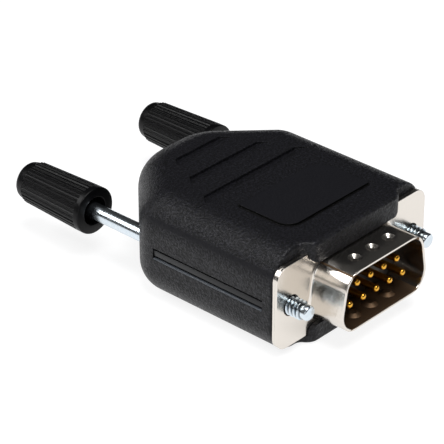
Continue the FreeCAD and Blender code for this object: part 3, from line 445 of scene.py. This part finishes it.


# %% [markdown]
# Polished ABS for the side ribs
#
# A shallow channel runs along each side of the cover, where its halves meet, and
# two ribs lie in it. Their mould was polished, so they have no grain, and only a
# slight waviness from the polishing breaks up what they reflect. The lower rib
# stands furthest out and is painted a lighter grey, a painted highlight along it.

# %% Polished ABS
polished_abs, tree, place = material("polished black ABS")
highlight_below = -0.35
drag = add(tree, "ShaderNodeTexNoise", {"Vector": place, "Scale": 1 / (0.5 * mm), "Detail": 2.0})
wavy = add(tree, "ShaderNodeBump", {"Height": drag.outputs["Fac"], "Strength": 0.2,
                                    "Distance": 0.03 * mm})
dull = add(tree, "ShaderNodeMapRange", {"Value": drag.outputs["Fac"], "To Min": 0.28,
                                        "To Max": 0.38})
split = add(tree, "ShaderNodeSeparateXYZ", {"Vector": place})
# Below this height the rib is painted a lighter grey, a painted highlight on the lower rib.
lower = add(tree, "ShaderNodeMath", {0: split.outputs["Z"], 1: highlight_below * mm},
            operation="LESS_THAN")
colour = add(tree, "ShaderNodeMix", {"Factor": lower.outputs["Value"], "A": linear("131416"),
                                     "B": linear("43474d")}, data_type="RGBA")
shader = add(tree, "ShaderNodeBsdfPrincipled", {"Base Color": colour.outputs["Result"],
                                                "IOR": 1.53, "Specular IOR Level": 0.3,
                                                "Roughness": dull.outputs["Result"],
                                                "Normal": wavy.outputs["Normal"]})
add(tree, "ShaderNodeOutputMaterial", {"Surface": shader.outputs["BSDF"]})
print(polished_abs.name, "has", len(tree.nodes), "nodes")

# %% [markdown]
# Ribs in the side channels
#
# The broad rib belongs to the upper half and overlaps the joint, and the narrow
# one belongs to the lower half, with a dark gap between them. They rise by a third
# to half a millimetre from the channel, too little for the CAD solids. Each is a
# cube that is scaled to size, moved into the channel and bevelled all round.

# %% Side ribs
rib_front, rib_back, rib_root = 2.54, 22.23, 15.04
rib_sizes = (("upper", -0.20, 0.66, 15.38, 0.06),
             ("lower", -0.79, -0.50, 15.55, 0.14))
for side, hand in sides:
    for half, bottom, top, out, edge in rib_sizes:
        size = Vector((out - rib_root, rib_back - rib_front, top - bottom)) * mm
        middle = Vector((hand * (out + rib_root), rib_front + rib_back, bottom + top)) / 2 * mm
        mesh = bmesh.new()
        bmesh.ops.create_cube(mesh, size=1.0)
        bmesh.ops.scale(mesh, vec=size, verts=mesh.verts)
        bmesh.ops.translate(mesh, vec=middle, verts=mesh.verts)
        bmesh.ops.bevel(mesh, geom=mesh.edges, offset=edge * mm, affect="EDGES", segments=3,
                        profile=0.5, material=-1)
        finished(f"{side}_{half}_side_rib", mesh, polished_abs, "connector", "cover")

# %% [markdown]
# Jackscrews with a real thread
#
# The CAD screw is a plain cylinder where the thread is. The real one has a thread
# of 0.635 mm from crest to crest, here 2.7 mm across the crests and 2 mm across
# the roots. It could be a bump, but its outline shows against the white paper. So
# one tooth is drawn as a short profile and spun while it moves along, one pitch a
# turn, which is how a die cuts it. Two planes cut the thread to length. In front
# it runs out into a plain rounded tip, which is turned as a core of its own: the
# thread's vertices are drawn in where they would stand above a cone that narrows
# to the tip. The shank, with its groove for the retaining ring, is turned as well.

# %% Sizes of a jackscrew
pitch, crest, root = 0.635, 1.35, 1.0
tip, thread_end, shank_end = -3.24, 0.0, 47.7
tip_radius, run_out, overlap = 1.05, 0.8, 0.3
shank, ring_groove, groove_front, groove_back = 1.19, 0.9, 13.48, 14.04
tooth = [(0.0, root), (0.05, root), (0.27, crest), (0.325, crest), (0.545, root), (pitch, root)]
turns = math.ceil((thread_end - tip) / pitch) + 2
steps = 32
print("thread of", round((thread_end - tip) / pitch, 1), "turns")

# %% Jackscrews
core_end = tip + run_out + overlap
for side, hand in sides:
    x = hand * screw_x
    mesh = bmesh.new()
    line = [mesh.verts.new(((x + radius) * mm, (tip - pitch + y) * mm, 0)) for y, radius in tooth]
    edges = [mesh.edges.new(pair) for pair in zip(line, line[1:])]
    bmesh.ops.spin(mesh, geom=line + edges, cent=(x * mm, 0, 0), axis=(0, 1, 0),
                   dvec=(0, pitch * mm / steps, 0), angle=2 * math.pi * turns,
                   steps=steps * turns)
    bmesh.ops.remove_doubles(mesh, verts=mesh.verts, dist=0.002 * mm)
    for level, outward in ((tip + run_out - overlap, -1), (thread_end, 1)):
        cut = bmesh.ops.bisect_plane(mesh, geom=mesh.verts[:] + mesh.edges[:] + mesh.faces[:],
                                     plane_co=(0, level * mm, 0), plane_no=(0, outward, 0),
                                     clear_outer=True)
        rim = [e for e in cut["geom_cut"] if isinstance(e, bmesh.types.BMEdge)]
        bmesh.ops.holes_fill(mesh, edges=rim, sides=0)
    for vert in mesh.verts:
        away = Vector((vert.co.x - x * mm, 0, vert.co.z))
        past_tip = max(0, vert.co.y - (tip + run_out) * mm)
        allowed = (tip_radius - 0.06) * mm + past_tip * 0.9
        if away.length > allowed:
            away *= allowed / away.length
            vert.co.x, vert.co.z = x * mm + away.x, away.z
    lathe(mesh, x, [(tip, 0.0), (tip, tip_radius - 0.22), (tip + 0.06, tip_radius - 0.09),
                    (tip + 0.18, tip_radius), (core_end, tip_radius), (core_end, 0.0)])
    lathe(mesh, x, [(thread_end - 0.05, 0.0), (thread_end - 0.05, shank), (groove_front, shank),
                    (groove_front, ring_groove), (groove_back, ring_groove), (groove_back, shank),
                    (shank_end, shank), (shank_end, 0.0)])
    finished(f"{side}_threaded_jackscrew", mesh, zinc, f"{side}_screw", "zinc",
             f"{side}_jackscrew")

# %% [markdown]
# Ribbed knobs
#
# Each knob is a moulded sleeve: a smooth rim in front, shallow ribs for the
# fingers, and a smooth cap behind, all narrowing a little towards the cap so that
# it leaves its mould. It is turned first, with six steps to each rib, and the
# vertices between the ribs are then drawn in towards the axis.

# %% Sizes of a knob
rib_count, rib_depth, rib_steps = 34, 0.17, 6
front, back, rim_end, cap_start, recess_floor = 36.365, 49.915, 37.265, 48.215, 38.865
wide, narrow, recess, hole, ribbed_above = 3.5, 3.15, 2.1, 1.22, 3.0
profile = [(recess_floor, hole), (recess_floor, recess), (front + 0.06, recess),
           (front, recess + 0.06), (front, wide - 0.14), (front + 0.03, wide - 0.07),
           (front + 0.08, wide - 0.02), (front + 0.15, wide), (rim_end, wide),
           (rim_end + 0.02, wide), (rim_end + 0.25, wide), (cap_start - 0.25, narrow),
           (cap_start - 0.05, narrow), (cap_start, narrow - 0.08), (cap_start, 2.86),
           (cap_start + 0.05, 2.85), (back - 0.75, 2.82), (back - 0.45, 2.74),
           (back - 0.2, 2.56), (back - 0.05, 2.3), (back, 2.0), (back, 0.0)]
print("knob", round(back - front, 2), "mm long, with", rib_count, "ribs")

# %% Knobs
for side, hand in sides:
    x = hand * screw_x
    mesh = bmesh.new()
    lathe(mesh, x, profile, steps=rib_count * rib_steps)
    for vert in mesh.verts:
        away = Vector((vert.co.x - x * mm, 0, vert.co.z))
        if not rim_end < vert.co.y / mm < cap_start - 0.01 or away.length < ribbed_above * mm:
            continue
        turn = math.atan2(away.z, away.x) * rib_count / (2 * math.pi) % 1
        sink = max(0.0, math.cos(2 * math.pi * turn)) ** 0.7 * rib_depth * mm
        away *= (away.length - sink) / away.length
        vert.co.x, vert.co.z = x * mm + away.x, away.z
    finished(f"{side}_ribbed_knob", mesh, nylon, f"{side}_screw", "knob", f"{side}_knob")

# %% [markdown]
# Paper
#
# The plug lies on white paper. The paper is matt, so that it takes the plug's
# shadow, and it glows a little to the camera and to reflections, so that it stays
# white in both. It lies a hair below the plug, and its underside is clear, so that
# a view from below shows the plug and not the back of the paper.

# %% Paper
paper, tree, place = material("white backdrop paper")
path = add(tree, "ShaderNodeLightPath")
seen = add(tree, "ShaderNodeMath", {0: path.outputs["Is Camera Ray"],
                                    1: path.outputs["Is Glossy Ray"]}, operation="MAXIMUM")
matt = add(tree, "ShaderNodeBsdfDiffuse", {"Color": linear("f2f2f4")})
glow = add(tree, "ShaderNodeEmission", {"Color": linear("ffffff"), "Strength": 1.2})
bright = add(tree, "ShaderNodeMixShader", {"Fac": 0.7, 1: matt.outputs["BSDF"],
                                           2: glow.outputs["Emission"]})
upper_face = add(tree, "ShaderNodeMixShader", {"Fac": seen.outputs["Value"],
                                               1: matt.outputs["BSDF"],
                                               2: bright.outputs["Shader"]})
facing = add(tree, "ShaderNodeNewGeometry")
clear = add(tree, "ShaderNodeBsdfTransparent")
one_sided = add(tree, "ShaderNodeMixShader", {"Fac": facing.outputs["Backfacing"],
                                              1: upper_face.outputs["Shader"],
                                              2: clear.outputs["BSDF"]})
add(tree, "ShaderNodeOutputMaterial", {"Surface": one_sided.outputs["Shader"]})
mesh = bmesh.new()
bmesh.ops.create_grid(mesh, x_segments=1, y_segments=1, size=0.35)
bmesh.ops.translate(mesh, vec=(0, 0, cad_low.z - 0.05 * mm), verts=mesh.verts)
data = bpy.data.meshes.new("paper")
mesh.to_mesh(data)
mesh.free()
data.materials.append(paper)
floor = bpy.data.objects.new("paper", data)
bpy.context.scene.collection.objects.link(floor)
print("paper at", round(cad_low.z / mm - 0.05, 2), "mm")

# %% [markdown]
# Room and lamps
#
# The room is white to the camera and dim to everything else, so that the black
# cover keeps dark sides. Three softboxes light the plug. The one behind is small
# and draws the grey sheen along the cover's shoulder, the one above is the main
# light, and the one on the left lifts the side that faces the camera.

# %% World
world = bpy.data.worlds.new("studio")
bpy.context.scene.world = world
world.use_nodes = True
tree = world.node_tree
tree.nodes.clear()
path = add(tree, "ShaderNodeLightPath")
room = add(tree, "ShaderNodeBackground", {"Color": linear("ffffff"), "Strength": 0.035})
white = add(tree, "ShaderNodeBackground", {"Color": linear("ffffff"), "Strength": 1.0})
both = add(tree, "ShaderNodeMixShader", {"Fac": path.outputs["Is Camera Ray"],
                                         1: room.outputs["Background"],
                                         2: white.outputs["Background"]})
add(tree, "ShaderNodeOutputWorld", {"Surface": both.outputs["Shader"]})
print("world", world.name)


# %% Lamps
def softbox(name, direction, distance, size, watts):
    """Square area lamp that faces the plug's middle from a direction, in metres."""
    lamp = bpy.data.lights.new(name, "AREA")
    lamp.energy = watts
    lamp.size = size
    made = bpy.data.objects.new(name, lamp)
    towards = Vector(direction).normalized()
    middle = Vector((0, 0.02, 0))
    aim = towards.to_track_quat("Z", "Y").to_matrix().to_4x4()
    made.matrix_world = Matrix.Translation(middle + towards * distance) @ aim
    bpy.context.scene.collection.objects.link(made)
    print(name, watts, "W")


softbox("softbox_behind", (-0.49, 0.54, 0.68), 0.45, 0.21, 0.9)
softbox("softbox_above", (-0.10, -0.30, 0.95), 0.7, 0.4, 4.5)
softbox("softbox_left", (-0.85, -0.40, 0.35), 0.8, 0.4, 0.8)

# %% [markdown]
# Camera
#
# The camera stands where the photographer's stood: about 31 cm away, 30 degrees
# above the table and 48 degrees round to the plug's left front, with a long lens.
# Its three axes are written down as a matrix, so that it looks exactly that way.

# %% Camera
azimuth, elevation = math.radians(-47.573), math.radians(30.435)
eye = Vector((-0.2097, -0.16794, 0.1647))
backward = Vector((math.sin(azimuth) * math.cos(elevation),
                   -math.cos(azimuth) * math.cos(elevation), math.sin(elevation)))
rightward = Vector((0, 0, 1)).cross(backward).normalized()
axes = Matrix((rightward, backward.cross(rightward), backward)).transposed()
lens = bpy.data.cameras.new("camera")
lens.lens = 189.88
lens.sensor_width = 36
lens.clip_start = 0.01
camera = bpy.data.objects.new("camera", lens)
camera.matrix_world = Matrix.Translation(eye) @ axes.to_4x4()
bpy.context.scene.collection.objects.link(camera)
bpy.context.scene.camera = camera
bpy.context.scene.view_settings.view_transform = "Standard"
print("camera at", [round(v / mm, 1) for v in eye], "mm")
